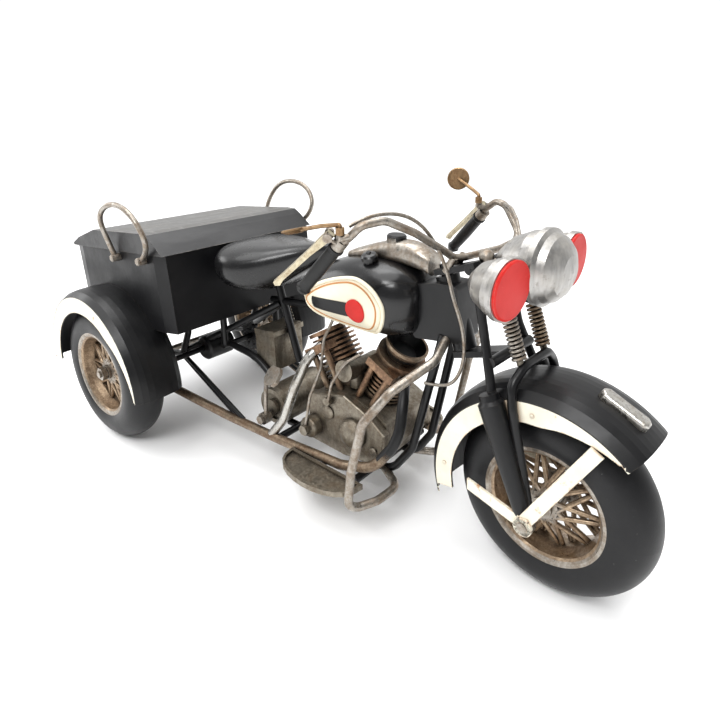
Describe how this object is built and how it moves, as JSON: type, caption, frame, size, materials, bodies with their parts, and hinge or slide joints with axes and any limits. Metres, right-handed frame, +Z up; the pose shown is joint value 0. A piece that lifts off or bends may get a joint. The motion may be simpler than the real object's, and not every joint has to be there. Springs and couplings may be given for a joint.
{
  "type": "toy cargo tricycle motorcycle",
  "caption": "Free-rolling tin model of a cargo motorcycle on three spoked wheels, with a steered spring fork, finned engine, dished saddle and a rear box with a hinged lid.",
  "frame": {"origin": "middle of the model's footprint at the ground", "axes": "+X forward to the front wheel, +Y to the rider's left, +Z up"},
  "size_m": [0.4098, 0.176, 0.1954],
  "materials": {
    "black_paint": "satin black enamel, worn at edges",
    "cream_paint": "aged cream enamel with rust stains",
    "aged_steel": "polished steel with brown patina",
    "bronze": "gunmetal bronze patina",
    "tyre_black": "smooth satin",
    "chrome": "aged chrome",
    "gloss_black": "gloss black",
    "grip_black": "matt"
  },
  "bodies": {
    "chassis": {"cable_lower": "aged_steel", "carburettor": "bronze", "cargo_box": "black_paint", "crankcase": "bronze", "crash_bar_left": "aged_steel", "crash_bar_right": "aged_steel", "cylinder_front": "bronze", "cylinder_rear": "bronze", "dash_console": "aged_steel", "engine_lines": "aged_steel", "footboard_left": "aged_steel", "footboard_right": "aged_steel", "frame_backbone": "black_paint", "frame_cradle": "black_paint", "fuel_tank": "black_paint", "gearbox": "bronze", "grab_hoop_left": "aged_steel", "grab_hoop_right": "aged_steel", "lower_rail_left": "bronze", "lower_rail_right": "bronze", "oil_tank": "bronze", "rear_axle": "aged_steel", "rear_exhaust": "aged_steel", "rear_fender_left": "black_paint", "rear_fender_right": "black_paint", "rear_stay_left": "black_paint", "rear_stay_right": "black_paint", "saddle": "gloss_black", "sprocket_carrier": "black_paint", "steering_neck": "black_paint", "timing_cover": "bronze"},
    "steering": {"front_axle": "aged_steel", "fork": "black_paint", "fork_spring_right": "aged_steel", "fork_spring_left": "aged_steel", "headlamp": "chrome", "side_lamp_right": "chrome", "side_lamp_left": "chrome", "lamp_bracket": "aged_steel", "handlebar": "aged_steel", "grip_right": "grip_black", "grip_left": "grip_black", "front_fender": "black_paint", "fender_lamp": "chrome", "fender_strap_right": "cream_paint", "fender_strap_left": "cream_paint", "cable_upper": "aged_steel"},
    "front_wheel": {"front_tyre": "tyre_black", "front_wheel_rim": "aged_steel"},
    "rear_wheel_right": {"rear_tyre_right": "tyre_black", "rear_wheel_rim_right": "aged_steel"},
    "rear_wheel_left": {"rear_tyre_left": "tyre_black", "rear_wheel_rim_left": "aged_steel"},
    "sprocket_wheel": {"sprocket": "black_paint"},
    "lid": {"cargo_lid": "black_paint"},
    "pedal": {"foot_pedal": "aged_steel"},
    "right_lever": {"lever_right": "bronze"},
    "left_lever": {"lever_left": "bronze"},
    "right_mirror": {"mirror_right": "bronze"},
    "left_mirror": {"mirror_left": "bronze"}
  },
  "joints": [
    {"name": "steer", "type": "hinge", "parent": "chassis", "child": "steering", "pos_m": [0.094, 0, 0.13], "axis": [-0.3256, 0, 0.9455], "range_deg": [-25, 35]},
    {"name": "front_spin", "type": "hinge", "parent": "steering", "child": "front_wheel", "pos_m": [0.15489, -0.00276, 0.04999], "axis": [0.0824, 0.9962, 0.0284], "continuous": true},
    {"name": "rear_spin_right", "type": "hinge", "parent": "chassis", "child": "rear_wheel_right", "pos_m": [-0.143, -0.0707, 0.05], "axis": [0, 1, 0], "continuous": true},
    {"name": "rear_spin_left", "type": "hinge", "parent": "chassis", "child": "rear_wheel_left", "pos_m": [-0.143, 0.0707, 0.05], "axis": [0, 1, 0], "continuous": true},
    {"name": "sprocket_spin", "type": "hinge", "parent": "chassis", "child": "sprocket_wheel", "pos_m": [-0.082, 0.006, 0.068], "axis": [0, 1, 0], "continuous": true},
    {"name": "lid_hinge", "type": "hinge", "parent": "chassis", "child": "lid", "pos_m": [-0.19766, 0, 0.13142], "axis": [0, -1, 0], "range_deg": [0, 100]},
    {"name": "pedal_swing", "type": "hinge", "parent": "chassis", "child": "pedal", "pos_m": [-0.027, -0.03, 0.036], "axis": [0, 1, 0], "range_deg": [-10, 14]},
    {"name": "lever_squeeze_right", "type": "hinge", "parent": "steering", "child": "right_lever", "pos_m": [0.06126, -0.05971, 0.17588], "axis": [0.4751, -0.8082, -0.348], "range_deg": [0, 9], "stiffness_Nm_per_rad": 0.02},
    {"name": "lever_squeeze_left", "type": "hinge", "parent": "steering", "child": "left_lever", "pos_m": [0.07228, 0.06066, 0.17481], "axis": [-0.5846, -0.7439, 0.3237], "range_deg": [0, 9], "stiffness_Nm_per_rad": 0.02},
    {"name": "mirror_swivel_right", "type": "hinge", "parent": "steering", "child": "right_mirror", "pos_m": [0.0688, -0.06024, 0.17528], "axis": [-0.0012, -0.0284, 0.9996], "range_deg": [-25, 25]},
    {"name": "mirror_swivel_left", "type": "hinge", "parent": "steering", "child": "left_mirror", "pos_m": [0.07432, 0.05253, 0.17549], "axis": [-0.0012, -0.0284, 0.9996], "range_deg": [-25, 25]}
  ]
}
